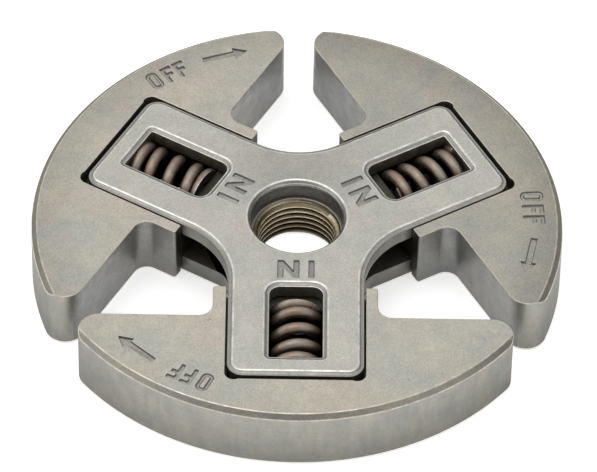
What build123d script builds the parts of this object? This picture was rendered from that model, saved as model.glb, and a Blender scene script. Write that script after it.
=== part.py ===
# Centrifugal clutch of a chainsaw, rebuilt as separate pieces.
# Millimetres. The hub axis is Z, Z = 0 is the bottom face of the hub, +Z is the side with the marks.
# One arm points to -Y, the other two follow every 120 degrees.
import os
from math import atan, cos, degrees, pi, radians, sin, sqrt

from build123d import *

# Hub, seen from above
ARMS = 3
ARM_HALF = 9.4
ARM_END = 29.4
ARM_CORNER_R = 2.2
TOP_NOTCH_R = 11.3
BASE_NOTCH_R = 3.4

# Hub, in height
HUB_T = 10.0
TOP_FLANGE = 2.4
BASE_FLANGE = 3.0
CORE_R = 10.4

# Pressed edge all round the hub: a flat land low down, then a bevel up to the face
LAND = 0.25
BEVEL_IN = 0.45
BEVEL_H = 0.35

# Windows in the arms, one spring in each
WINDOW_HALF = 3.7
WINDOW_IN = 13.0
WINDOW_OUT = 26.0
WINDOW_IN_R = 1.5
WINDOW_OUT_R = 0.2

# Threaded bore, M12 x 1 left hand, drawn at the minor diameter
THREAD_MINOR_R = 5.46
THREAD_LEAD = 0.74
SEAT_R = 6.5
SEAT_DEPTH = 3.0
SEAT_BEVEL = 0.5

# Drum that the clutch works in, and how far a shoe goes to meet it
DRUM_R = 38.0
REACH = 1.0

# Shoe, seen from above
CHORD = 18.5
TIP_R = 2.9
LUG_END = 13.1
LUG_HALF_CW = 11.5
LUG_HALF_CCW = 11.3
LUG_FILLET = 2.0
LUG_CORNER_R = 0.4
POCKET_SIDE_GAP = 0.25
POCKET_END_GAP = 0.6
POCKET_HALF = ARM_HALF + POCKET_SIDE_GAP
POCKET_END = ARM_END + POCKET_END_GAP
POCKET_CORNER_R = 1.2
POCKET_RELIEF = 0.15

# Shoe, in height
SHOE_GAP = 0.3
RIM_IN = 0.75
RIM_H = 0.65

# Web of the shoe, which runs between the two flanges of the hub
WEB_CLEAR = 0.2
WEB_IN = 15.2
WEB_END_GAP = 0.3
WEB_OUT = WINDOW_OUT + WEB_END_GAP
WEB_ROOT = 0.3
TONGUE_HALF = 5.0
TONGUE_CORNER_R = 0.8
STOP_GAP = 0.1

# Springs, closed and ground at both ends, and a little wider than the windows, which keep them in
WIRE_R = 0.8
SPRING_OUT_R = 4.2
SPRING_SIDE_GAP = 0.2
END_TURNS = 1.2
ACTIVE_TURNS = 2.5
END_PITCH = 2 * WIRE_R + 0.05
END_TIP = 0.5
STEPS_A_TURN = 16
SPRING_TURN = {"front": 68.0, "right": -20.0, "left": 122.0}

# How near a corner has to lie to a line to be picked for rounding
NEAR = 0.1

# Sizes that follow from the ones above
SLOT_BOTTOM = BASE_FLANGE
SLOT_TOP = HUB_T - TOP_FLANGE
MID_Z = (SLOT_BOTTOM + SLOT_TOP) / 2
SHOE_BOTTOM = SHOE_GAP
SHOE_TOP = HUB_T - SHOE_GAP
WEB_BOTTOM = SLOT_BOTTOM + WEB_CLEAR
WEB_TOP = SLOT_TOP - WEB_CLEAR
WEB_GAP_HALF = SPRING_OUT_R + SPRING_SIDE_GAP
BEVEL_ANGLE = degrees(atan(BEVEL_IN / BEVEL_H))

# Arm angles, in degrees round the hub axis from the arm at -Y
PLACES = {"front": 0.0, "right": 120.0, "left": 240.0}


def star(notch_r, inset=0.0):
    """Outline of the hub: three arms with round notches between them, drawn in by inset."""
    half = ARM_HALF - inset
    end = ARM_END - inset
    arms = Sketch()
    for turn in PLACES.values():
        arms += Rot(0, 0, turn) * Pos(0, -end / 2) * Rectangle(2 * half, end)
    corner = half / sin(pi / ARMS)
    outer = [v for v in arms.vertices() if sqrt(v.X**2 + v.Y**2) > corner + NEAR]
    arms = fillet(outer, ARM_CORNER_R - inset)
    inner = [v for v in arms.vertices() if sqrt(v.X**2 + v.Y**2) < corner + NEAR]
    return fillet(inner, notch_r + inset)


def window(grow=0.0):
    """Outline of the window in the front arm, grown by grow."""
    length = WINDOW_OUT - WINDOW_IN + 2 * grow
    middle = -(WINDOW_OUT + WINDOW_IN) / 2
    shape = Pos(0, middle) * Rectangle(2 * (WINDOW_HALF + grow), length)
    near_axis = shape.vertices().filter_by(lambda v: v.Y > middle)
    shape = fillet(near_axis, WINDOW_IN_R + grow)
    far_off = [v for v in shape.vertices() if v.Y < middle - length / 2 + NEAR]
    return fillet(far_off, WINDOW_OUT_R + grow)


def flange(notch_r, height):
    """One flange of the hub with its pressed edge on top, windows cut, standing on Z = 0."""
    body = extrude(star(notch_r), height - BEVEL_H)
    body += Pos(0, 0, height - BEVEL_H) * extrude(star(notch_r, LAND), BEVEL_H, taper=BEVEL_ANGLE)
    hole = extrude(window(), height)
    hole += Pos(0, 0, height - BEVEL_H) * extrude(window(LAND), BEVEL_H, taper=-BEVEL_ANGLE)
    for turn in PLACES.values():
        body -= Rot(0, 0, turn) * hole
    return body


def make_hub():
    """Two flanges on a round core, with the threaded bore through all three."""
    top = Pos(0, 0, SLOT_TOP) * flange(TOP_NOTCH_R, TOP_FLANGE)
    base = Pos(0, 0, SLOT_BOTTOM) * Rot(0, 180, 0) * flange(BASE_NOTCH_R, BASE_FLANGE)
    core = Pos(0, 0, SLOT_BOTTOM) * extrude(Circle(CORE_R), SLOT_TOP - SLOT_BOTTOM)
    seat_floor = HUB_T - SEAT_DEPTH
    bore = Polyline(
        (0, 0),
        (THREAD_MINOR_R + THREAD_LEAD, 0),
        (THREAD_MINOR_R, THREAD_LEAD),
        (THREAD_MINOR_R, seat_floor - THREAD_LEAD),
        (THREAD_MINOR_R + THREAD_LEAD, seat_floor),
        (SEAT_R, seat_floor),
        (SEAT_R, HUB_T - SEAT_BEVEL),
        (SEAT_R + SEAT_BEVEL, HUB_T),
        (0, HUB_T),
        close=True,
    )
    hole = revolve(Plane.XZ * make_face(bore), Axis.Z)
    return top + base + core - hole


def shoe_outline():
    """Outline of the shoe on the front arm, with the pocket that the arm stands in."""
    disc = Pos(0, REACH) * Circle(DRUM_R)
    segment = disc & (Pos(0, -CHORD - DRUM_R) * Rectangle(3 * DRUM_R, 2 * DRUM_R))
    segment = fillet(segment.vertices(), TIP_R)
    lug_length = POCKET_END - LUG_END
    width = LUG_HALF_CW + LUG_HALF_CCW
    middle = (LUG_HALF_CCW - LUG_HALF_CW) / 2
    lugs = Pos(middle, -(POCKET_END + LUG_END) / 2) * Rectangle(width, lug_length)
    lugs = fillet([v for v in lugs.vertices() if v.Y > -CHORD], LUG_CORNER_R)
    shape = segment + lugs
    inner = [v for v in shape.vertices() if abs(v.Y + CHORD) < NEAR and abs(v.X) < LUG_HALF_CW + NEAR]
    shape = fillet(inner, LUG_FILLET)
    return shape - pocket()


def pocket():
    """Outline of the pocket, with the two round reliefs in its far corners."""
    length = POCKET_END
    shape = Pos(0, -length / 2) * Rectangle(2 * POCKET_HALF, length)
    shape = fillet([v for v in shape.vertices() if v.Y < -CHORD], POCKET_CORNER_R)
    for side in (-1, 1):
        centre = (side * (POCKET_HALF - POCKET_CORNER_R), POCKET_CORNER_R - POCKET_RELIEF - length)
        shape += Pos(*centre) * Circle(POCKET_CORNER_R)
    return shape


def make_shoe():
    """Shoe on the front arm: a pressed segment, turned outside, with a web across the pocket."""
    height = SHOE_TOP - SHOE_BOTTOM
    body = Pos(0, 0, SHOE_BOTTOM) * extrude(shoe_outline(), height)
    rim = Polyline(
        (0, SHOE_BOTTOM),
        (DRUM_R - RIM_IN, SHOE_BOTTOM),
        (DRUM_R, SHOE_BOTTOM + RIM_H),
        (DRUM_R, SHOE_TOP - RIM_H),
        (DRUM_R - RIM_IN, SHOE_TOP),
        (0, SHOE_TOP),
        close=True,
    )
    turned = Pos(0, REACH) * revolve(Plane.XZ * make_face(rim), Axis.Z)
    body = body & turned
    web_far = POCKET_END + WEB_ROOT
    web = Pos(0, -(web_far + LUG_END) / 2) * Rectangle(2 * (POCKET_HALF + WEB_ROOT), web_far - LUG_END)
    tongue_in = CORE_R + STOP_GAP
    tongue = Pos(0, -(WEB_IN + tongue_in) / 2) * Rectangle(2 * TONGUE_HALF, WEB_IN - tongue_in)
    tongue = fillet([v for v in tongue.vertices() if v.Y > -LUG_END], TONGUE_CORNER_R)
    gap = Pos(0, -(WEB_IN + WEB_OUT) / 2) * Rectangle(2 * WEB_GAP_HALF, WEB_OUT - WEB_IN)
    web = web + tongue - gap
    return body + Pos(0, 0, WEB_BOTTOM) * extrude(web, WEB_TOP - WEB_BOTTOM)


def spring_path(length):
    """Points down the middle of the wire, along -Y, from the ground end nearest the hub axis."""
    mean_r = SPRING_OUT_R - WIRE_R
    first = END_TIP - WIRE_R
    open_rise = (length - 2 * first - 2 * END_TURNS * END_PITCH) / ACTIVE_TURNS
    turns = 2 * END_TURNS + ACTIVE_TURNS
    steps = round(STEPS_A_TURN * turns)
    points = []
    for i in range(steps + 1):
        turn = turns * i / steps
        into_open = min(max(turn - END_TURNS, 0), ACTIVE_TURNS)
        along = first + END_PITCH * (turn - into_open) + open_rise * into_open
        angle = 2 * pi * turn
        points.append((-mean_r * sin(angle), -along, mean_r * cos(angle)))
    return points


def make_spring():
    """Spring between the web of the shoe and the far end of the window, at the front arm."""
    length = WINDOW_OUT - WEB_IN
    path = Spline(*spring_path(length))
    start = path @ 0
    wire = sweep(Plane(origin=start, z_dir=path % 0) * Circle(WIRE_R), path=path, is_frenet=True)
    keep = Pos(0, -length / 2, 0) * Box(4 * SPRING_OUT_R, length, 4 * SPRING_OUT_R)
    return wire & keep


hub = make_hub()
shoe = make_shoe()
spring = make_spring()

nodes = {"hub": hub}
for place, turn in PLACES.items():
    nodes["shoe_" + place] = Rot(0, 0, turn) * shoe
    own_turn = Rot(0, SPRING_TURN[place], 0) * spring
    nodes["spring_" + place] = Rot(0, 0, turn) * Pos(0, -WEB_IN, MID_Z) * own_turn

os.makedirs("parts", exist_ok=True)
for name, body in nodes.items():
    export_step(body, "parts/" + name + ".step")
    box = body.bounding_box()
    print(name, "valid", body.is_valid, "solids", len(body.solids()), "volume", round(body.volume, 2),
          "box", [round(v, 2) for v in (*box.min, *box.max)])
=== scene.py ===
# %% [markdown]
# # A centrifugal clutch, dressed for its picture
# The clutch has seven pieces: a hub with three arms, three shoes that slide out along the arms, and
# three coil springs in windows of the arms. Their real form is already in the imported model, which
# this lesson loads first as a frame that nothing here moves. What is left to make is how each piece
# looks: edges that tumbling has softened, pressed marks, the thread in the bore, clean round
# springs, and steel that is more than one flat grey.

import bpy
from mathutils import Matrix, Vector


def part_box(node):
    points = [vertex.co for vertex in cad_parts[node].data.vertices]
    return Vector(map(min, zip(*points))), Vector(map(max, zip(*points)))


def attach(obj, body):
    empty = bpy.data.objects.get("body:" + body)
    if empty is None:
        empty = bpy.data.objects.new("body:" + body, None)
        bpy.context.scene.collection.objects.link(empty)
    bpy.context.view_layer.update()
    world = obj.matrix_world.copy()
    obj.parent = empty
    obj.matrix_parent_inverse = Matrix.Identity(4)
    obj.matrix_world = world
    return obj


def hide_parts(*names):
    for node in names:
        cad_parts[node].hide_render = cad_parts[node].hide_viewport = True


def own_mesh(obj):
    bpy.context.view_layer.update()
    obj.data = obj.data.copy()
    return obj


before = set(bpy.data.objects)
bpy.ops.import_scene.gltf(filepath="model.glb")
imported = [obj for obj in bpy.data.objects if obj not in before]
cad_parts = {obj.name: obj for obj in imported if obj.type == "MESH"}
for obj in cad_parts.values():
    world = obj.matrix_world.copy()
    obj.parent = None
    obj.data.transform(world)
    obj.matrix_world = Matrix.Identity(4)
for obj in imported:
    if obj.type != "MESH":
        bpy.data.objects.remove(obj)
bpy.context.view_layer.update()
print("nodes:", sorted(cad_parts))

# %% [markdown]
# ## Units and places
# Blender works in metres here, and a clutch is small, so lengths are written in millimetres and
# multiplied by one value. The three arms are alike: everything is made once on the front arm, which
# points to -Y, and then turned about the hub axis to its own place.

# %% Units and places
from math import cos, pi, radians, sin

import bmesh
import bpy
from mathutils import Matrix, Vector

MM = 0.001
PLACES = {"front": 0.0, "right": 120.0, "left": 240.0}
UP = Vector((0, 0, 1))
scene = bpy.context.scene
hub_low, hub_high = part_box("hub")
shoe_low, shoe_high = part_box("shoe_front")
print("hub height, mm:", round((hub_high.z - hub_low.z) / MM, 2))


def turned(place):
    """The turn about the hub axis from the front arm to the arm of that place."""
    return Matrix.Rotation(radians(PLACES[place]), 4, "Z")


# %% [markdown]
# ## From bmesh to a piece
# New shapes are built in a bmesh and become an object at the end. The Boolean modifier is used as a
# tool: it is put into the mesh straight away, so that the next step starts from plain faces.

# %% Helpers that make a piece
def as_piece(bm, name):
    """Turns a bmesh into an object at the origin, with its faces pointing outwards."""
    bmesh.ops.recalc_face_normals(bm, faces=bm.faces)
    mesh = bpy.data.meshes.new(name)
    bm.to_mesh(mesh)
    bm.free()
    piece = bpy.data.objects.new(name, mesh)
    scene.collection.objects.link(piece)
    return piece


def apply_modifiers(piece):
    """Puts the modifiers of a piece into its mesh."""
    graph = bpy.context.evaluated_depsgraph_get()
    mesh = bpy.data.meshes.new_from_object(piece.evaluated_get(graph))
    piece.modifiers.clear()
    piece.data = mesh


def middle_of(edge):
    """The point half way along an edge."""
    return (edge.verts[0].co + edge.verts[1].co) / 2


def everything(bm):
    """All vertices, edges and faces of a bmesh."""
    return bm.verts[:] + bm.edges[:] + bm.faces[:]


def trim(bm, point, normal):
    """Cuts away all that lies beyond a plane."""
    bmesh.ops.bisect_plane(
        bm, geom=everything(bm), plane_co=point, plane_no=normal, clear_outer=True
    )


def close_rims(bm):
    """Fills every open rim."""
    rims = [e for e in bm.edges if e.is_boundary]
    bmesh.ops.holes_fill(bm, edges=rims, sides=0)


# %% [markdown]
# ## A clean copy of a solid
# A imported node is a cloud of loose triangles. The copy is welded, and the triangles of each flat
# face are dissolved into one face, because a bevel needs real edges to work on. The angle is kept
# small, so that the narrow strips of round walls stay as they are.

# %% Copy a node
WELD = 0.0005 * MM
FLAT = radians(0.4)


def copy_of(node, name):
    """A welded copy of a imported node, with whole flat faces."""
    bm = bmesh.new()
    bm.from_mesh(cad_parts[node].data)
    bmesh.ops.remove_doubles(bm, verts=bm.verts, dist=WELD)
    bmesh.ops.dissolve_limit(bm, angle_limit=FLAT, verts=bm.verts, edges=bm.edges)
    open_edges = sum(1 for e in bm.edges if not e.is_manifold)
    print(name, "faces:", len(bm.faces), "open edges:", open_edges)
    return as_piece(bm, name)


# %% [markdown]
# ## Material slots
# Every steel piece carries up to eight finishes: the pressed skin, the sides that slid along the
# press die, the edges that tumbling has polished bright, the faces that a tool has cut, the walls
# of the pressed marks and their floors, the bevels with the narrow land below them, and the inside.
# The edges' colour is partly polished steel and partly a painted highlight, and the sides, bevels,
# marks and inside are darkened with painted shade. A bevel can give its new faces a slot of their
# own, and a cutter hands its slots on to the faces that it leaves behind.

# %% Slots of a steel piece
SKIN, SIDE, EDGE, TOOLED, MARK, FLOOR, BEVEL, INSIDE = range(8)
EDGE_ANGLE = radians(31)
STEEP = 0.3
ROUND_SEGMENTS = 3
ROUND_PROFILE = 0.5


def add_slots(piece):
    """Gives a piece its empty slots."""
    for _ in range(INSIDE + 1):
        piece.data.materials.append(None)


def sort_sides(piece):
    """Puts all steep faces of a piece in the slot of the die sides."""
    add_slots(piece)
    for face in piece.data.polygons:
        face.material_index = SIDE if abs(face.normal.z) < STEEP else SKIN


def soften(piece, width, where=None, slot=EDGE):
    """Rounds the sharp outer edges, or those that pass a test, and gives the rounds a finish."""
    bm = bmesh.new()
    bm.from_mesh(piece.data)
    bm.normal_update()
    sharp = [
        e for e in bm.edges
        if e.calc_face_angle_signed() > EDGE_ANGLE and (where is None or where(e))
    ]
    bmesh.ops.bevel(
        bm, geom=sharp, offset=width, offset_type="OFFSET", segments=ROUND_SEGMENTS,
        profile=ROUND_PROFILE, affect="EDGES", material=slot, clamp_overlap=False,
    )
    bm.to_mesh(piece.data)
    bm.free()
    print(piece.name, "faces with soft edges:", len(piece.data.polygons))


def cut(piece, cutter):
    """Takes the cutter out of the piece. The new faces keep the slots of the cutter."""
    add_slots(cutter)
    tool = piece.modifiers.new("cut", "BOOLEAN")
    tool.operation = "DIFFERENCE"
    tool.solver = "EXACT"
    tool.material_mode = "INDEX"
    tool.object = cutter
    apply_modifiers(piece)
    bpy.data.objects.remove(cutter)


# %% [markdown]
# ## The hub and its edges
# The hub is pressed from steel powder and tumbled, so no edge on it is sharp. Its pressed bevels
# are in the solid. The rounds on top of them are only 0.08 to 0.2 millimetres wide, which is enough
# to catch a line of light all the way round.

# %% Hub body
TOP_ROUND = 0.16 * MM
MOUTH_ROUND = 0.2 * MM
WINDOW_ROUND = 0.12 * MM
LAND_ROUND = 0.08 * MM
MOUTH_R = 6.5 * MM
NEAR_MOUTH = 0.05 * MM
UPPER_Z = 9 * MM
TOP_Z = hub_high.z - 0.01 * MM
LAND_Z = hub_high.z - 0.35 * MM
LAND_GAP = 0.02 * MM
UPWARDS = 0.5
LEVEL = 0.95
WINDOW_HALF = 3.8 * MM
WINDOW_ENDS = (12.9 * MM, 26.1 * MM)
INNER_HALF = 3.9 * MM
INNER_ENDS = (12.7 * MM, 13.1 * MM)


def on_arm(point, half, ends):
    """Whether a point lies on an arm, within a half width and between two distances out."""
    for place in PLACES:
        own = turned(place).inverted() @ point
        if abs(own.x) < half and ends[0] < -own.y < ends[1]:
            return True
    return False


def at_top(edge):
    """Whether an edge lies in the upper face."""
    return min(vert.co.z for vert in edge.verts) > TOP_Z


def at_mouth(edge):
    """Whether an edge is the inner one of the two at the mouth of the bore."""
    middle = middle_of(edge)
    return abs(middle.xy.length - MOUTH_R) < NEAR_MOUTH and middle.z > UPPER_Z


def at_window(edge):
    """Whether an edge lies at a window of the hub."""
    middle = middle_of(edge)
    return middle.z > UPPER_Z and on_arm(middle, WINDOW_HALF, WINDOW_ENDS)


def mark_bevels(piece):
    """Gives the bevels of the upper face and the land below them their slot, but gives the land at
    the inner ends of the windows the bright edge finish as a painted highlight."""
    for face in piece.data.polygons:
        height = face.center.z
        slope = UPWARDS < face.normal.z < LEVEL and LAND_Z < height < hub_high.z
        land = face.normal.z > LEVEL and abs(height - LAND_Z) < LAND_GAP
        if (slope or land) and face.material_index == SKIN:
            # Painted highlight: the land at the inner ends of the windows takes the bright edge
            # finish.
            highlighted_land = land and on_arm(face.center, INNER_HALF, INNER_ENDS)
            face.material_index = EDGE if highlighted_land else BEVEL


hub = copy_of("hub", "hub_body")
sort_sides(hub)
mark_bevels(hub)
soften(hub, TOP_ROUND, at_top)
soften(hub, MOUTH_ROUND, at_mouth)
soften(hub, WINDOW_ROUND, at_window)
soften(hub, LAND_ROUND, slot=BEVEL)

# %% [markdown]
# ## The thread
# The bore has a fine left-hand thread. The quick way is a texture, but the turns show their flanks
# from the front, so they are cut. A tap does it on the real part, and here too: the outline of one
# ridge is spun up into a long screw, the neighbouring turns are welded, the ends are cut flat and
# closed, and the screw is taken out of the hub. A negative angle makes the thread left-handed.

# %% Tap
PITCH = 1.0 * MM
MAJOR_R = 6.0 * MM
TAP_CORE_R = 5.4 * MM
RIDGE_FLAT = PITCH / 8
FLANK = radians(30)
TAP_TURNS = 10
TAP_STEPS = 72
TAP_ENDS = (-0.8 * MM, 8.2 * MM)


def tap():
    """The screw that leaves the thread in the bore."""
    rise = (MAJOR_R - TAP_CORE_R) * sin(FLANK) / cos(FLANK)
    low = (PITCH - RIDGE_FLAT) / 2
    ridge = [
        (TAP_CORE_R, 0),
        (TAP_CORE_R, low - rise),
        (MAJOR_R, low),
        (MAJOR_R, low + RIDGE_FLAT),
        (TAP_CORE_R, low + RIDGE_FLAT + rise),
        (TAP_CORE_R, PITCH),
    ]
    bm = bmesh.new()
    start = TAP_ENDS[0] - PITCH
    verts = [bm.verts.new((r, 0, start + z)) for r, z in ridge]
    edges = [bm.edges.new(pair) for pair in zip(verts, verts[1:])]
    bmesh.ops.spin(
        bm,
        geom=verts + edges,
        cent=(0, 0, 0),
        axis=UP,
        dvec=UP * PITCH / TAP_STEPS,
        angle=-2 * pi * TAP_TURNS,
        steps=TAP_STEPS * TAP_TURNS,
    )
    bmesh.ops.remove_doubles(bm, verts=bm.verts, dist=WELD)
    for height, normal in ((TAP_ENDS[0], -UP), (TAP_ENDS[1], UP)):
        trim(bm, (0, 0, height), normal)
    close_rims(bm)
    return as_piece(bm, "tap")


screw = tap()
for face in screw.data.polygons:
    face.material_index = TOOLED
cut(hub, screw)
print("hub faces with the thread:", len(hub.data.polygons))

# %% [markdown]
# ## Pressed marks
# The marks only say what a mechanic needs: IN and OFF, and an arrow for the way that the clutch
# unscrews. Each is one flat outline with a stroke of even width, which is how a press punch is
# made. Its corners are rounded a little, and an inset makes the floor of the mark and its sloping
# walls.

# %% Outlines of the marks
N_SLANT = 1.65
F_MIDDLE = 0.42
F_SHORT = 0.86


def outline_i(height, stroke):
    """A plain upright bar."""
    return [(0, 0), (stroke, 0), (stroke, height), (0, height)]


def outline_n(width, height, stroke):
    """Two bars and a slanted one between them."""
    slant = N_SLANT * stroke
    right = width - stroke
    return [
        (0, 0), (stroke, 0), (stroke, height - slant), (right, 0), (width, 0),
        (width, height), (right, height), (right, slant), (stroke, height), (0, height),
    ]


def outline_f(width, height, stroke):
    """A bar with two arms, the lower one a little shorter."""
    middle = F_MIDDLE * height
    short = F_SHORT * width
    return [
        (0, 0), (stroke, 0), (stroke, middle), (short, middle), (short, middle + stroke),
        (stroke, middle + stroke), (stroke, height - stroke), (width, height - stroke),
        (width, height), (0, height),
    ]


def outline_arrow(length, head_width, head_length, stroke):
    """A shaft and a head that point along +X."""
    neck = length - head_length
    return [
        (0, -stroke / 2), (neck, -stroke / 2), (neck, -head_width / 2), (length, 0),
        (neck, head_width / 2), (neck, stroke / 2), (0, stroke / 2),
    ]


# %% [markdown]
# The O is the one mark with a hole. It starts as a rectangle whose corners are bevelled round, and
# an inset turns it into a ring of the same stroke.

# %% Cutters of the marks
MARK_DEPTH = 0.24 * MM
MARK_SLOPE = 0.13 * MM
MARK_CORNER = 0.13 * MM
CORNER_SEGMENTS = 2
O_ROUND = 0.42
O_SEGMENTS = 6
ABOVE = 1.0 * MM


def punched(bm):
    """Makes flat faces at Z = 0 into a cutter whose walls slope in as they go down."""
    floor_faces = bm.faces[:]
    raised = bmesh.ops.extrude_face_region(bm, geom=floor_faces)["geom"]
    top = [v for v in raised if isinstance(v, bmesh.types.BMVert)]
    bmesh.ops.translate(bm, verts=top, vec=UP * ABOVE)
    bmesh.ops.recalc_face_normals(bm, faces=bm.faces)
    bmesh.ops.inset_region(
        bm, faces=floor_faces, thickness=MARK_SLOPE, depth=MARK_DEPTH, use_even_offset=True
    )
    for face in bm.faces:
        face.material_index = MARK
    for face in floor_faces:
        face.material_index = FLOOR
    return bm


def solid_mark(outline):
    """The cutter of a mark that has one outline."""
    bm = bmesh.new()
    bm.faces.new([bm.verts.new((x, y, 0)) for x, y in outline])
    bmesh.ops.bevel(
        bm, geom=bm.verts[:], offset=MARK_CORNER, segments=CORNER_SEGMENTS,
        profile=ROUND_PROFILE, affect="VERTICES", material=-1,
    )
    return punched(bm)


def ring_mark(width, height, stroke):
    """The cutter of the O."""
    bm = bmesh.new()
    corners = [(0, 0), (width, 0), (width, height), (0, height)]
    bm.faces.new([bm.verts.new((x, y, 0)) for x, y in corners])
    bmesh.ops.bevel(
        bm, geom=bm.verts[:], offset=O_ROUND * width, segments=O_SEGMENTS,
        profile=ROUND_PROFILE, affect="VERTICES", material=-1,
    )
    (inner,) = bm.faces
    bmesh.ops.inset_region(
        bm, faces=[inner], thickness=stroke, use_even_offset=True, use_boundary=True
    )
    bmesh.ops.delete(bm, geom=[inner], context="FACES_ONLY")
    return punched(bm)


# %% [markdown]
# ## Placing a mark
# A mark is written with its own right and up directions. On every arm and shoe the up direction
# points away from the hub axis, so that a word reads for someone who looks outwards from the bore.

# %% Place and press a mark
def press(piece, bm, place, origin, right, height):
    """Sinks one mark into a piece, at an origin and along a right direction on the front arm."""
    right = Vector((*right, 0)).normalized()
    up = UP.cross(right)
    spot = Matrix.Translation((*origin, height))
    axes = Matrix((right, up, UP)).transposed().to_4x4()
    bmesh.ops.transform(bm, matrix=turned(place) @ spot @ axes, verts=bm.verts)
    cut(piece, as_piece(bm, "mark"))


# %% IN on each arm of the hub
IN_HEIGHT = 3.35 * MM
IN_STROKE = 0.86 * MM
N_WIDTH = 3.07 * MM
I_AT = (2.5 * MM, -8.35 * MM)
N_AT = (0.41 * MM, -8.35 * MM)
IN_RIGHT = (-1, 0)

for place in PLACES:
    letter_i = solid_mark(outline_i(IN_HEIGHT, IN_STROKE))
    press(hub, letter_i, place, I_AT, IN_RIGHT, hub_high.z)
    letter_n = solid_mark(outline_n(N_WIDTH, IN_HEIGHT, IN_STROKE))
    press(hub, letter_n, place, N_AT, IN_RIGHT, hub_high.z)
print("hub faces with IN:", len(hub.data.polygons))

# %% [markdown]
# ## The shoes
# A shoe is pressed like the hub, and then its outer face is turned to the drum's radius together
# with the bevel on its marked side. The solid has that bevel on both sides, but the lower edge is
# seen plain, so the lower bevel is pushed down until it lies in the bottom face. A lesson in
# looking: count the edges that show before a hidden side is taken to be the same. The turned faces
# are picked by how far they lie from the centre of their arc.

# %% Shoe bodies
SHOE_ROUND = 0.12 * MM
ARC_CENTRE = Vector((0, 1.0 * MM, 0))
ARC_R = 38.0 * MM
TIP_R = 2.9 * MM
LEANING = 0.3
DOWN_SLOPE = (-0.95, -0.4)
LOWER_Z = 1 * MM


def square_below(piece):
    """Pushes the lower bevel down into the bottom face."""
    bm = bmesh.new()
    bm.from_mesh(piece.data)
    bm.normal_update()
    slopes = [
        f for f in bm.faces
        if DOWN_SLOPE[0] < f.normal.z < DOWN_SLOPE[1] and f.calc_center_median().z < LOWER_Z
    ]
    for vert in {vert for face in slopes for vert in face.verts}:
        vert.co.z = shoe_low.z
    bmesh.ops.dissolve_limit(bm, angle_limit=FLAT, verts=bm.verts, edges=bm.edges)
    bm.to_mesh(piece.data)
    bm.free()
    print(piece.name, "lower bevel faces pushed down:", len(slopes))


def mark_turned_faces(piece, place):
    """Gives the outer face and its round ends the finish of a cut surface, and its bevel the
    finish of the bevels."""
    centre = turned(place) @ ARC_CENTRE
    count = 0
    for face in piece.data.polygons:
        out = Vector((*(face.center - centre).xy, 0))
        outwards = face.normal.xy.length > LEANING and face.normal.dot(out.normalized()) > 0
        if out.length > ARC_R - TIP_R and outwards and face.material_index in (SKIN, SIDE):
            face.material_index = TOOLED if abs(face.normal.z) < STEEP else BEVEL
            count += 1
    print(piece.name, "turned faces:", count)


shoes = {}
for place in PLACES:
    shoes[place] = copy_of("shoe_" + place, "shoe_body_" + place)
    square_below(shoes[place])
    sort_sides(shoes[place])
    soften(shoes[place], SHOE_ROUND)
    mark_turned_faces(shoes[place], place)

# %% [markdown]
# OFF stands on the shoe's clockwise half, and the arrow after it points the same way round. The
# word and the arrow are straight, each along its own tangent.

# %% OFF and the arrow on each shoe
WORD_R = 33.1 * MM
WORD_TURN = radians(243.6)
F_HEIGHT = 3.1 * MM
O_HEIGHT = 3.3 * MM
WORD_STROKE = 0.62 * MM
O_WIDTH = 1.8 * MM
F_WIDTH = 1.7 * MM
WORD_STEPS = (-3.55 * MM, -1.05 * MM, 0.95 * MM)
ARROW_R = 33.1 * MM
ARROW_TURN = radians(228.6)
ARROW_LENGTH = 6.7 * MM
ARROW_STROKE = 1.0 * MM
HEAD_WIDTH = 2.3 * MM
HEAD_LENGTH = 2.05 * MM


def on_tangent(radius, turn, along, out):
    """A point beside the spot at that radius and angle, and the clockwise direction there."""
    outwards = Vector((cos(turn), sin(turn)))
    clockwise = Vector((sin(turn), -cos(turn)))
    return outwards * (radius + out) + clockwise * along, clockwise


for place, shoe in shoes.items():
    letters = [
        (ring_mark(O_WIDTH, O_HEIGHT, WORD_STROKE), O_HEIGHT),
        (solid_mark(outline_f(F_WIDTH, F_HEIGHT, WORD_STROKE)), F_HEIGHT),
        (solid_mark(outline_f(F_WIDTH, F_HEIGHT, WORD_STROKE)), F_HEIGHT),
    ]
    for (letter, height), step in zip(letters, WORD_STEPS):
        origin, right = on_tangent(WORD_R, WORD_TURN, step, -height / 2)
        press(shoe, letter, place, origin, right, shoe_high.z)
    origin, right = on_tangent(ARROW_R, ARROW_TURN, -ARROW_LENGTH / 2, 0)
    arrow = solid_mark(outline_arrow(ARROW_LENGTH, HEAD_WIDTH, HEAD_LENGTH, ARROW_STROKE))
    press(shoe, arrow, place, origin, right, shoe_high.z)
    print(shoe.name, "faces with OFF:", len(shoe.data.polygons))

# %% [markdown]
# ## The springs
# A spring is one round section spun about its axis while it moves along it. Its pitch changes: the
# end turns touch, and the turns between them are open, so the spin is done in stretches, and each
# goes on from the last ring of the one before. Both ends are then ground flat with a plane, which
# leaves the thin tips that show in the windows.

# %% Spring values
WIRE_R = 0.8 * MM
COIL_R = 3.4 * MM
SPRING_IN = 15.2 * MM
SPRING_OUT = 26.0 * MM
TIP_OUTSIDE = 0.3 * MM
END_TURNS = 1.2
END_PITCH = 1.65 * MM
OPEN_TURNS = 2.5
STEPS_A_TURN = 48
WIRE_SIDES = 24
SPRING_TURN = {"front": 68.0, "right": -20.0, "left": 122.0}
spring_low, spring_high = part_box("spring_front")
SPRING_Z = (spring_low.z + spring_high.z) / 2
OUTWARDS = Vector((0, -1, 0))
WIRE, BARE, GROUND = range(3)
BARE_LENGTH = 0.09 * MM
WALL_CORNERS = 6


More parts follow.
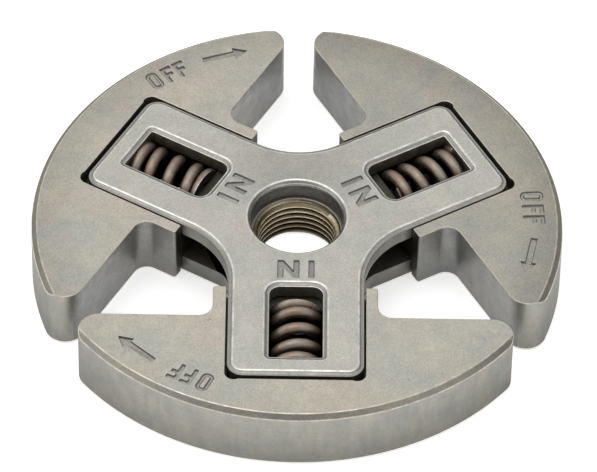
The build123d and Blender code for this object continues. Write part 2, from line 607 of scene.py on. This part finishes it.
def spun(bm, ring, turns, rise):
    """Spins a ring about the spring's axis while it moves outwards. Returns its last copy."""
    steps = round(STEPS_A_TURN * turns)
    made = bmesh.ops.spin(
        bm,
        geom=ring,
        cent=(0, 0, 0),
        axis=OUTWARDS,
        dvec=OUTWARDS * rise / steps,
        angle=2 * pi * turns,
        steps=steps,
    )
    return made["geom_last"]


# %% Make the springs
def wound_spring(place):
    """One spring, wound, ground and turned to its place."""
    length = SPRING_OUT - SPRING_IN
    open_rise = length + 2 * TIP_OUTSIDE - 2 * END_TURNS * END_PITCH
    bm = bmesh.new()
    section = Matrix.Translation((0, TIP_OUTSIDE, COIL_R)) @ Matrix.Rotation(pi / 2, 4, "Y")
    bmesh.ops.create_circle(bm, cap_ends=True, segments=WIRE_SIDES, radius=WIRE_R, matrix=section)
    ring = bm.verts[:] + bm.edges[:]
    ring = spun(bm, ring, END_TURNS, END_TURNS * END_PITCH)
    ring = spun(bm, ring, OPEN_TURNS, open_rise)
    spun(bm, ring, END_TURNS, END_TURNS * END_PITCH)
    bmesh.ops.remove_doubles(bm, verts=bm.verts, dist=WELD)
    close_rims(bm)
    for end, normal in ((0, -OUTWARDS), (length, OUTWARDS)):
        trim(bm, OUTWARDS * end, normal)
        close_rims(bm)
        bare_to = OUTWARDS * end - normal * BARE_LENGTH
        bmesh.ops.bisect_plane(bm, geom=everything(bm), plane_co=bare_to, plane_no=normal)
    for face in bm.faces:
        along = face.calc_center_median().dot(OUTWARDS)
        from_end = min(along, length - along)
        if from_end < WELD:
            face.material_index = GROUND
        elif from_end < BARE_LENGTH or len(face.verts) > WALL_CORNERS:
            face.material_index = BARE
        else:
            face.material_index = WIRE
    own_turn = Matrix.Rotation(radians(SPRING_TURN[place]), 4, "Y")
    seat = Matrix.Translation((0, -SPRING_IN, SPRING_Z))
    bmesh.ops.transform(bm, matrix=turned(place) @ seat @ own_turn, verts=bm.verts)
    piece = as_piece(bm, "spring_wire_" + place)
    print(piece.name, "faces:", len(piece.data.polygons))
    return piece


springs = {place: wound_spring(place) for place in PLACES}

# %% [markdown]
# ## Steel that isn't flat
# A finish is built from noise at the sizes that the real surface shows: soft clouds, two to nine
# millimetres wide, where the colour drifts from warm to cool, a fine grain of a quarter of a
# millimetre that breaks up the light, and here and there a pore. All patterns read Object
# coordinates, so they stay on the steel when a shoe slides. The first number of a noise is the size
# of one blob in millimetres, and the next two are its detail and its roughness.

# %% Helpers for a finish
MIDDLE_OF_NOISE = (0.3, 0.7)
MIX_SHARE, MIX_FIRST, MIX_SECOND, MIX_RESULT = 0, 6, 7, 2


class Finish:
    """A material with short ways to add and join its nodes."""

    def __init__(self, name, metallic, color):
        self.material = bpy.data.materials.new(name)
        self.material.use_nodes = True
        self.material.diffuse_color = (*color, 1)
        self.nodes = self.material.node_tree.nodes
        self.links = self.material.node_tree.links
        self.shader = self.nodes["Principled BSDF"]
        self.shader.inputs["Metallic"].default_value = metallic
        self.place = self.nodes.new("ShaderNodeTexCoord").outputs["Object"]

    def stretched(self, scale):
        """Object coordinates with their own scale along each axis."""
        node = self.nodes.new("ShaderNodeMapping")
        node.inputs["Scale"].default_value = scale
        self.links.new(self.place, node.inputs["Vector"])
        return node.outputs["Vector"]

    def noise(self, size, detail=3.0, roughness=0.55, where=None):
        """A noise whose blobs are about that many millimetres wide."""
        node = self.nodes.new("ShaderNodeTexNoise")
        node.inputs["Scale"].default_value = 1 / (size * MM)
        node.inputs["Detail"].default_value = detail
        node.inputs["Roughness"].default_value = roughness
        self.links.new(where or self.place, node.inputs["Vector"])
        return node.outputs["Fac"]

    def height(self):
        """The height above the lower face of the hub."""
        node = self.nodes.new("ShaderNodeSeparateXYZ")
        self.links.new(self.place, node.inputs[0])
        return node.outputs["Z"]

    def from_axis(self):
        """The distance from the hub axis."""
        node = self.nodes.new("ShaderNodeVectorMath")
        node.operation = "LENGTH"
        self.links.new(self.stretched((1.0, 1.0, 0.0)), node.inputs[0])
        return node.outputs["Value"]

    def away_from(self, spot):
        """The distance from a spot."""
        node = self.nodes.new("ShaderNodeVectorMath")
        node.operation = "DISTANCE"
        node.inputs[1].default_value = spot
        self.links.new(self.place, node.inputs[0])
        return node.outputs["Value"]

    def mapped(self, value, low, high, to_low, to_high):
        """The value, taken from one range to another."""
        node = self.nodes.new("ShaderNodeMapRange")
        node.inputs["From Min"].default_value = low
        node.inputs["From Max"].default_value = high
        node.inputs["To Min"].default_value = to_low
        node.inputs["To Max"].default_value = to_high
        self.links.new(value, node.inputs["Value"])
        return node.outputs["Result"]

    def spread(self, noise, to_low, to_high):
        """The usual values of a noise, taken to another range."""
        return self.mapped(noise, *MIDDLE_OF_NOISE, to_low, to_high)

    def mixed(self, share, first, second, blend="MIX"):
        """Two colours mixed by a share. Each may be a colour or a socket."""
        node = self.nodes.new("ShaderNodeMix")
        node.data_type = "RGBA"
        node.blend_type = blend
        for number, value in ((MIX_SHARE, share), (MIX_FIRST, first), (MIX_SECOND, second)):
            socket = node.inputs[number]
            if isinstance(value, bpy.types.NodeSocket):
                self.links.new(value, socket)
            else:
                socket.default_value = value if isinstance(value, float) else (*value, 1)
        return node.outputs[MIX_RESULT]

    def times(self, color, factor):
        """A colour multiplied by a factor."""
        return self.mixed(1.0, color, factor, "MULTIPLY")

    def bumped(self, height, depth, under=None):
        """A bump of that depth in millimetres, on top of another one."""
        node = self.nodes.new("ShaderNodeBump")
        node.inputs["Distance"].default_value = depth * MM
        node.inputs["Strength"].default_value = 1.0
        self.links.new(height, node.inputs["Height"])
        if under:
            self.links.new(under, node.inputs["Normal"])
        return node.outputs["Normal"]

    def put(self, name, value):
        """Joins a value to an input of the shader."""
        self.links.new(value, self.shader.inputs[name])


# %% Pressed and blasted skin
DARK_PORE = (0.18, 0.17, 0.15)
# Painted shade: the skin darkens towards its foot, towards the shoes' rims and round the hub's
# neck.
FOOT_Z = (1 * MM, 8 * MM)
RIM_R = (30 * MM, 37 * MM)
NECK = (0, 11 * MM, 10 * MM)
NECK_REACH = (4 * MM, 13 * MM)


def skin_finish(name, tones, foot=1.0, rim=1.0, neck=1.0, grazing=None):
    """The pressed skin: clouds of three greys, grain and pores, and painted shade that darkens its
    foot, rim and neck.
    """
    cool, warm, rosy = tones
    finish = Finish(name, 1.0, cool)
    clouds = finish.mapped(finish.noise(9.0, 4.0), 0.38, 0.62, 0.0, 1.0)
    color = finish.mixed(clouds, cool, warm)
    blush = finish.mapped(finish.noise(4.0, 3.0), 0.52, 0.66, 0.0, 0.8)
    color = finish.mixed(blush, color, rosy)
    shade = finish.mapped(finish.noise(2.2, 4.0, 0.65), 0.32, 0.68, 0.95, 1.045)
    color = finish.times(color, shade)
    grain = finish.noise(0.24, 2.0, 0.6)
    grain_tone = finish.spread(grain, 0.85, 1.13)
    color = finish.times(color, grain_tone)
    pores = finish.mapped(finish.noise(0.4, 2.0, 0.5), 0.25, 0.31, 0.6, 0.0)
    color = finish.mixed(pores, color, DARK_PORE)
    # Painted shade at the foot, the rim and the neck.
    low = finish.mapped(finish.height(), *FOOT_Z, foot, 1.0)
    color = finish.times(color, low)
    outer = finish.mapped(finish.from_axis(), *RIM_R, 1.0, rim)
    color = finish.times(color, outer)
    neck_shade = finish.mapped(finish.away_from(NECK), *NECK_REACH, neck, 1.0)
    color = finish.times(color, neck_shade)
    finish.put("Base Color", color)
    finish.put("Roughness", finish.spread(finish.noise(1.6, 3.0), 0.36, 0.5))
    rough = finish.bumped(grain, 0.012)
    finish.put("Normal", finish.bumped(finish.noise(1.1, 3.0), 0.02, under=rough))
    if grazing:
        finish.shader.inputs["Specular Tint"].default_value = grazing
    return finish.material


# %% [markdown]
# The greys were chosen by looking at renders beside the photograph, in three sets: the hub's, the
# shoes' warmer ones and those of the shoes' sides. The sides and bevels look darker, so their greys
# are taken times a share. Each shoe has a brightness of its own, and its own darker rim.

# %% The greys
def shaded(tones, share):
    """The same tones, lighter or darker by that share."""
    return [tuple(value * share for value in tone) for tone in tones]


HUB_TONES = [(0.465, 0.465, 0.43), (0.52, 0.50, 0.445), (0.505, 0.47, 0.425)]
SHOE_TONES = [(0.445, 0.44, 0.392), (0.505, 0.475, 0.395), (0.49, 0.445, 0.385)]
SIDE_TONES = [(0.46, 0.465, 0.455), (0.50, 0.49, 0.46), (0.48, 0.465, 0.445)]
OILY_GRAZING = (0.3, 0.3, 0.3, 1)
SHOE_SHARES = {"front": 1.01, "right": 0.86, "left": 1.0}
# Painted shade: each shoe's rim is darkened by its own share, the sides and bevels are darker
# copies of the skin's greys, the sides darken further towards their foot, and the hub darkens round
# its neck.
SHOE_RIM_SHADES = {"front": 0.93, "right": 0.74, "left": 0.8}
HUB_SIDE_SHADE = 0.62
HUB_BEVEL_SHADE = 0.66
SHOE_SIDE_SHADE = 0.58
SHOE_BEVEL_SHADE = 0.62
HUB_NECK_SHADE = 0.8
HUB_FOOT_SHADE = 0.5
SHOE_FOOT_SHADE = 0.7

hub_skin = skin_finish("hub_skin", HUB_TONES, neck=HUB_NECK_SHADE)
hub_side_shaded = skin_finish("hub_side_shaded", shaded(HUB_TONES, HUB_SIDE_SHADE), foot=HUB_FOOT_SHADE)
hub_bevel_shaded = skin_finish("hub_bevel_shaded", shaded(HUB_TONES, HUB_BEVEL_SHADE), grazing=OILY_GRAZING)
shoe_skins = {}
for place in PLACES:
    own_tones = shaded(SHOE_TONES, SHOE_SHARES[place])
    shoe_skins[place] = skin_finish("shoe_skin_" + place, own_tones, rim=SHOE_RIM_SHADES[place])
shoe_side_shaded = skin_finish("shoe_side_shaded", shaded(SIDE_TONES, SHOE_SIDE_SHADE), foot=SHOE_FOOT_SHADE)
shoe_bevel_shaded = skin_finish("shoe_bevel_shaded", shaded(SHOE_TONES, SHOE_BEVEL_SHADE), grazing=OILY_GRAZING)

# %% Rubbed edges with a painted highlight, marks with painted shade, and cut faces
GRAZING = (0.6, 0.6, 0.6, 1)
LINES_STRETCH = (0.12, 0.12, 9.0)
STREAKS_STRETCH = (0.8, 0.8, 0.3)
RIM_FOOT_Z = (1 * MM, 9 * MM)
RIM_FOOT_SHADE = 0.72
# Painted shade in the thread: darker roots, a lighter lead and a darker lower end.
ROOT_R = (5.47 * MM, 5.72 * MM)
ROOT_SHADE = 0.06
LEAD_R = (5.75 * MM, 6.0 * MM)
LEAD_SHADE = 0.3
LEAD_Z = (6.0 * MM, 6.3 * MM)
DEEP_Z = (1.5 * MM, 5.5 * MM)
DEEP_SHADE = 0.28


def edge_finish(name, color):
    """Edges that tumbling has polished bright, in a lighter colour that is partly polished steel
    and partly a painted highlight.
    """
    finish = Finish(name, 1.0, color)
    wear_and_glint = finish.mapped(finish.noise(1.3, 4.0, 0.7), 0.34, 0.62, 0.72, 1.12)
    finish.put("Base Color", finish.times(color, wear_and_glint))
    finish.put("Roughness", finish.spread(finish.noise(0.8, 2.0), 0.26, 0.42))
    finish.put("Normal", finish.bumped(finish.noise(0.3, 2.0), 0.01))
    return finish.material


def mark_finish(name, color):
    """A dull finish with a fine mottle. On the marks' walls and floors, the bore wall, the slot,
    the windows and the webs its dark colour is painted shade.
    """
    finish = Finish(name, 1.0, color)
    tone = finish.spread(finish.noise(0.4, 3.0), 0.8, 1.1)
    finish.put("Base Color", finish.times(color, tone))
    finish.put("Roughness", finish.spread(finish.noise(0.6, 2.0), 0.42, 0.56))
    finish.put("Normal", finish.bumped(finish.noise(0.25, 2.0), 0.012))
    return finish.material


def turned_finish(name, cool, warm):
    """The shoe's outer face: fine turned lines, upright streaks of rub, and painted shade that
    darkens it towards its foot.
    """
    finish = Finish(name, 1.0, cool)
    clouds = finish.mapped(finish.noise(4.0, 4.0), 0.38, 0.62, 0.0, 1.0)
    color = finish.mixed(clouds, cool, warm)
    lines = finish.noise(1.0, 2.0, 0.5, finish.stretched(LINES_STRETCH))
    color = finish.times(color, finish.spread(lines, 0.96, 1.04))
    streaks = finish.noise(1.0, 3.0, 0.6, finish.stretched(STREAKS_STRETCH))
    color = finish.times(color, finish.spread(streaks, 0.9, 1.08))
    # Painted shade towards the foot of the outer face.
    low = finish.mapped(finish.height(), *RIM_FOOT_Z, RIM_FOOT_SHADE, 1.0)
    color = finish.times(color, low)
    grain = finish.noise(0.22, 2.0)
    color = finish.times(color, finish.spread(grain, 0.9, 1.08))
    finish.put("Base Color", color)
    finish.put("Roughness", finish.spread(finish.noise(2.0, 3.0), 0.34, 0.46))
    finish.put("Normal", finish.bumped(lines, 0.008, under=finish.bumped(grain, 0.008)))
    finish.shader.inputs["Specular Tint"].default_value = GRAZING
    return finish.material


def thread_finish(name, bright, brown):
    """The bore: bright crests, brown stains, and roots darkened partly by oily dirt and partly by
    painted shade. Painted shade also darkens the thread towards its lower end, and less of it lies
    on its lead, just under the seat."""
    finish = Finish(name, 1.0, bright)
    stain = finish.mapped(finish.noise(1.4, 3.0), 0.35, 0.62, 0.0, 0.7)
    color = finish.mixed(stain, bright, brown)
    # Painted shade: the roots, the lead and the lower end of the thread.
    root = finish.mapped(finish.from_axis(), *ROOT_R, 1.0, ROOT_SHADE)
    lead = finish.mapped(finish.from_axis(), *LEAD_R, 1.0, LEAD_SHADE)
    at_lead = finish.mapped(finish.height(), *LEAD_Z, 0.0, 1.0)
    color = finish.times(color, finish.mixed(at_lead, root, lead))
    deep = finish.mapped(finish.height(), *DEEP_Z, DEEP_SHADE, 1.0)
    color = finish.times(color, deep)
    grain = finish.noise(0.2, 2.0)
    color = finish.times(color, finish.spread(grain, 0.88, 1.1))
    finish.put("Base Color", color)
    finish.put("Roughness", finish.spread(finish.noise(0.7, 2.0), 0.34, 0.46))
    finish.put("Normal", finish.bumped(grain, 0.004))
    return finish.material


# Partly polished steel, partly painted highlight: the lighter colours of the edges.
hub_edge = edge_finish("hub_rubbed_edge_and_highlight", (0.66, 0.65, 0.61))
shoe_edge = edge_finish("shoe_rubbed_edge_and_highlight", (0.55, 0.51, 0.42))
# Painted shade: the walls and floors of the marks are darker than the skin.
shaded_wall_steel = mark_finish("mark_wall_shade", (0.13, 0.125, 0.115))
hub_floor_shaded = mark_finish("hub_mark_floor_shade", (0.34, 0.33, 0.305))
shoe_floor_shaded = mark_finish("shoe_mark_floor_shade", (0.365, 0.35, 0.305))
# Painted shade: the slot, the windows and the shoes' webs get dark colours for the shade deep
# inside the clutch.
shaded_inside_steel = mark_finish("shaded_inside", (0.27, 0.25, 0.21))
shaded_web_steel = mark_finish("shaded_web", (0.09, 0.083, 0.065))
rim_steel = turned_finish("turned_rim", (0.31, 0.31, 0.288), (0.355, 0.34, 0.295))
thread_steel = thread_finish("cut_thread", (0.78, 0.68, 0.50), (0.58, 0.45, 0.28))

# %% Spring wire
# Painted highlight: a light patch near the front spring's tip.
TIP_GLINT_SPOTS = [(2.6 * MM, -15.6 * MM, 8.3 * MM), (3.2 * MM, -15.55 * MM, 7.65 * MM)]
TIP_GLINT = (0.60, 0.60, 0.65)
TIP_GLINT_REACH = (0.36 * MM, 0.5 * MM)
# Painted shade: the wire darkens low down in the windows.
WIRE_SHADE_Z = (6.9 * MM, 8.7 * MM)
WIRE_LOW_SHADE = 0.07


def wire_finish(name, brown, light):
    """Tempered spring wire: brown, darkened low down with painted shade, and with a painted
    highlight near the front tip.
    """
    finish = Finish(name, 1.0, brown)
    clouds = finish.mapped(finish.noise(1.5, 3.0), 0.4, 0.6, 0.0, 1.0)
    color = finish.mixed(clouds, brown, light)
    grain = finish.noise(0.12, 2.0)
    color = finish.times(color, finish.spread(grain, 0.82, 1.15))
    # Painted shade low down.
    wire_shade = finish.mapped(finish.height(), *WIRE_SHADE_Z, WIRE_LOW_SHADE, 1.0)
    color = finish.times(color, wire_shade)
    patches = finish.mapped(finish.noise(0.25, 2.0), 0.4, 0.6, 0.0, 1.0)
    glint_color = finish.mixed(patches, TIP_GLINT, brown)
    # Painted highlight near the front spring's tip.
    for spot in TIP_GLINT_SPOTS:
        glint_share = finish.mapped(finish.away_from(spot), *TIP_GLINT_REACH, 1.0, 0.0)
        color = finish.mixed(glint_share, color, glint_color)
    finish.put("Base Color", color)
    finish.put("Roughness", finish.spread(finish.noise(0.6, 2.0), 0.40, 0.55))
    finish.put("Normal", finish.bumped(grain, 0.006))
    return finish.material


wire_steel = wire_finish("wire_shade_and_glint", (0.31, 0.225, 0.17), (0.33, 0.295, 0.245))
# Partly bare steel, partly painted highlight: the bright band along the springs' ground ends.
bare_wire_and_highlight = edge_finish("bare_wire_and_highlight", (0.46, 0.45, 0.43))
ground_wire = mark_finish("ground_wire", (0.08, 0.075, 0.06))

# %% [markdown]
# ## Dressing the pieces
# Each steel piece gets its finishes in the order of its slots. Smooth shading with normals
# weighted by face area keeps the large faces flat and lets only the narrow rounds bend the light.
# That modifier is the only one that stays on the pieces.

# %% Dress and shade
SHARP = radians(34)


def dress(piece, finishes):
    """Puts the finishes in their slots and shades the piece smoothly between its sharp edges."""
    while len(piece.data.materials) < len(finishes):
        piece.data.materials.append(None)
    for slot, finish in enumerate(finishes):
        piece.data.materials[slot] = finish
    piece.data.polygons.foreach_set("use_smooth", [True] * len(piece.data.polygons))
    piece.data.set_sharp_from_angle(angle=SHARP)
    weights = piece.modifiers.new("flat_faces_stay_flat", "WEIGHTED_NORMAL")
    weights.keep_sharp = True


# %% [markdown]
# Some faces can only be told apart by where they lie. In the bore the thread is cut steel, the seat
# above it is like the sides, and the wall above the seat gets the dark finish of the marks' walls,
# a painted shade. The slot, the windows and the shoes' webs get a dark finish that is painted
# shade.

# %% Sort the faces by their place, dress the steel and attach it
SEAT_Z = 7.0 * MM
SEAT_GAP = 0.05 * MM
BORE_R = 6.55 * MM
BORE_Z = 9.2 * MM
CORE_R = 6.6 * MM
SLOT_Z = (2.9 * MM, 7.7 * MM)
BODY_Z = (0.1 * MM, hub_high.z - 0.02 * MM)
WEB_Z = (3.1 * MM, 7.5 * MM)
WEB_HALF = 9.7 * MM
WEB_OUT = 30.1 * MM


def sort_hub(piece):
    """Gives the bore, the slot and the windows their slots."""
    for face in piece.data.polygons:
        across = face.center.xy.length
        height = face.center.z
        inside = BODY_Z[0] < height < BODY_Z[1]
        if face.material_index in (MARK, FLOOR) or not inside:
            continue
        if across < BORE_R and height < BORE_Z:
            if abs(height - SEAT_Z) < SEAT_GAP and face.normal.z > UPWARDS:
                face.material_index = SIDE
            else:
                # The bore wall above the seat takes the marks' dark wall finish, a painted shade.
                face.material_index = TOOLED if height < SEAT_Z else MARK
        # Painted shade in the slot and on the window walls.
        elif SLOT_Z[0] < height < SLOT_Z[1] and across > CORE_R:
            face.material_index = INSIDE
        elif face.material_index == SIDE and on_arm(face.center, WINDOW_HALF, WINDOW_ENDS):
            face.material_index = INSIDE


def sort_shoe(piece, place):
    """Gives the web that runs in the slot the dark finish."""
    for face in piece.data.polygons:
        own = turned(place).inverted() @ face.center
        if WEB_Z[0] < own.z < WEB_Z[1] and abs(own.x) < WEB_HALF and -own.y < WEB_OUT:
            # Painted shade on the web that runs in the slot.
            face.material_index = INSIDE


sort_hub(hub)
hub_finishes = [
    hub_skin, hub_side_shaded, hub_edge, thread_steel, shaded_wall_steel, hub_floor_shaded, hub_bevel_shaded, shaded_inside_steel,
]
dress(hub, hub_finishes)
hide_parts("hub")
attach(hub, "hub")
for place, shoe in shoes.items():
    sort_shoe(shoe, place)
    shoe_finishes = [
        shoe_skins[place], shoe_side_shaded, shoe_edge, rim_steel, shaded_wall_steel, shoe_floor_shaded, shoe_bevel_shaded,
        shaded_web_steel,
    ]
    dress(shoe, shoe_finishes)
    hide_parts("shoe_" + place)
    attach(shoe, "shoe_" + place)

# %% [markdown]
# ## The springs
# When a shoe slides out it squeezes its spring against the far end of the window. Here each spring
# simply rides on the hub, and its other end does not follow the shoe.

# %% Attach the springs
for place, spring in springs.items():
    dress(spring, [wire_steel, bare_wire_and_highlight, ground_wire])
    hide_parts("spring_" + place)
    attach(spring, "hub")
    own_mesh(spring)

# %% [markdown]
# ## Floor and light
# The clutch lies on a white floor that fills the picture. Small sheets just above the floor change
# what shows through the clutch: those under the windows, and under the gaps beside the front arm,
# have no glow, and the one under the bore glows more than the floor.

# %% Floor
FLOOR_HALVES = (1.5, 1.5)
FLOOR_GLOW = 0.5
BORE_GLOW = 0.85
SHEET_WHITE = (0.94, 0.94, 0.94)
SHEET_ROUGHNESS = 0.9
WHITE = (1, 1, 1, 1)
LIFT = UP * 0.02 * MM
WINDOW_SHEET = (3.7 * MM, 6.5 * MM)
WINDOW_AT = Vector((0, -19.5 * MM, 0))
GAP_SHEET = (0.5 * MM, 1.6 * MM)
GAP_X = 9.75 * MM
GAP_Y = -6.8 * MM
BORE_SHEET = (6 * MM, 6 * MM)


def floor_finish(name, glow):
    """A plain white sheet. Its own faint glow, seen by the camera and in the steel, whitens it."""
    finish = Finish(name, 0.0, SHEET_WHITE)
    tone = finish.spread(finish.noise(40.0, 2.0), 0.985, 1.0)
    finish.put("Base Color", finish.times(SHEET_WHITE, tone))
    finish.shader.inputs["Roughness"].default_value = SHEET_ROUGHNESS
    ray = finish.nodes.new("ShaderNodeLightPath")
    seen = ray.outputs["Is Camera Ray"]
    for kind in ("Is Glossy Ray", "Is Transmission Ray"):
        either = finish.nodes.new("ShaderNodeMath")
        either.operation = "MAXIMUM"
        finish.links.new(seen, either.inputs[0])
        finish.links.new(ray.outputs[kind], either.inputs[1])
        seen = either.outputs[0]
    finish.shader.inputs["Emission Color"].default_value = WHITE
    finish.put("Emission Strength", finish.mapped(seen, 0.0, 1.0, 0.0, glow))
    return finish.material


def sheet(name, halves, spot, finish):
    """A flat sheet of the stage, given by its half lengths."""
    bm = bmesh.new()
    bmesh.ops.create_grid(bm, x_segments=1, y_segments=1, size=1.0)
    size = Matrix.Diagonal((*halves, 1.0, 1.0))
    bmesh.ops.transform(bm, matrix=spot @ size, verts=bm.verts)
    piece = as_piece(bm, name)
    piece.data.materials.append(finish)


sheet("floor", FLOOR_HALVES, Matrix.Identity(4), floor_finish("white_sheet", FLOOR_GLOW))
shade_finish = floor_finish("shaded_sheet", 0.0)
for place in PLACES:
    spot = turned(place) @ Matrix.Translation(WINDOW_AT + LIFT)
    sheet("shade_" + place, WINDOW_SHEET, spot, shade_finish)
for side in (-1, 1):
    spot = Matrix.Translation(Vector((side * GAP_X, GAP_Y, 0)) + LIFT)
    sheet("shade_gap", GAP_SHEET, spot, shade_finish)
# Painted light: the sheet under the bore glows more than the floor, so the floor seen through the
# bore stays white though the hub shades it.
bright_finish = floor_finish("bright_sheet", BORE_GLOW)
sheet("bright_bore", BORE_SHEET, Matrix.Translation(LIFT), bright_finish)

# %% [markdown]
# Light comes from all round, as in a white tent. Metal shows what it reflects, so the tent isn't
# even: its sky is bright overhead and a little behind, and dim near the horizon. Two panels are
# brighter still, a card stands low in front, and one soft lamp hangs above the clutch.

# %% Light
SKY_DIM = 0.32
SKY_BRIGHT = 0.97
SKY_SIDE = Vector((-0.15, 0.45, 0.88)).normalized()
SKY_RAMP = (0.35, 0.85)
CARD_BRIGHT = 0.85
CARD_SIDE = Vector((0, -1, 0))
CARD_EDGE = (0.35, 0.7)
CARD_TOP = (0.62, 0.42)
PANELS = [
    (Vector((-0.84, -0.12, 0.54)), (0.78, 0.95), 1.25),
    (Vector((0.60, -0.42, 0.68)), (0.87, 0.98), 1.15),
]
LAMP_AT = Vector((-0.10, -0.01, 0.62))
LAMP_SIZE = 0.5
LAMP_POWER = 0.9


class World(Finish):
    """The white tent round the object, built like a finish."""

    def __init__(self, name):
        self.world = bpy.data.worlds.new(name)
        self.world.use_nodes = True
        self.nodes = self.world.node_tree.nodes
        self.links = self.world.node_tree.links
        self.shader = self.nodes["Background"]
        self.place = self.nodes.new("ShaderNodeTexCoord").outputs["Generated"]

    def towards(self, side):
        """How far a direction points to that side."""
        node = self.nodes.new("ShaderNodeVectorMath")
        node.operation = "DOT_PRODUCT"
        node.inputs[1].default_value = side
        self.links.new(self.place, node.inputs[0])
        return node.outputs["Value"]

    def joined(self, first, second, operation):
        """Two values joined by one operation."""
        node = self.nodes.new("ShaderNodeMath")
        node.operation = operation
        self.links.new(first, node.inputs[0])
        self.links.new(second, node.inputs[1])
        return node.outputs[0]


world = World("studio")
sky = world.mapped(world.towards(SKY_SIDE), *SKY_RAMP, SKY_DIM, SKY_BRIGHT)
for side, edge, strength in PANELS:
    panel = world.mapped(world.towards(side.normalized()), *edge, 0.0, strength)
    sky = world.joined(sky, panel, "MAXIMUM")
front = world.mapped(world.towards(CARD_SIDE), *CARD_EDGE, 0.0, CARD_BRIGHT)
low = world.mapped(world.height(), *CARD_TOP, 0.0, 1.0)
card = world.joined(front, low, "MULTIPLY")
world.put("Strength", world.joined(sky, card, "MAXIMUM"))
world.shader.inputs["Color"].default_value = WHITE
scene.world = world.world
lamp = bpy.data.lights.new("top_lamp", "AREA")
lamp.size = LAMP_SIZE
lamp.energy = LAMP_POWER
lamp_object = bpy.data.objects.new("top_lamp", lamp)
lamp_object.location = LAMP_AT
lamp_object.rotation_euler = (-LAMP_AT).to_track_quat("-Z", "Y").to_euler()
scene.collection.objects.link(lamp_object)
scene.view_settings.view_transform = "Standard"
print("lamp height, mm:", round(LAMP_AT.z / MM))

# %% [markdown]
# ## Camera
# The camera stands far away with a long lens, so the arms at the back look nearly as large as the
# one in front. Its place was worked out from the outline of the hub in the photograph.

# %% Camera
AIM = Vector((0.22, -3.39, 9.54)) * MM
DISTANCE = 830.7 * MM
ELEVATION = radians(47.44)
AZIMUTH = radians(0.392)
ROLL = radians(1.177)
LENS = 359.4
SENSOR = 36
CLIP = (0.05, 20)

camera = bpy.data.cameras.new("camera")
camera.lens = LENS
camera.sensor_width = SENSOR
camera.clip_start, camera.clip_end = CLIP
camera_object = bpy.data.objects.new("camera", camera)
flat = cos(ELEVATION)
back = Vector((-sin(AZIMUTH) * flat, -cos(AZIMUTH) * flat, sin(ELEVATION)))
camera_object.location = AIM + back * DISTANCE
camera_object.rotation_mode = "QUATERNION"
level = (-back).to_track_quat("-Z", "Y")
camera_object.rotation_quaternion = level @ Matrix.Rotation(ROLL, 3, "Z").to_quaternion()
scene.collection.objects.link(camera_object)
scene.camera = camera_object
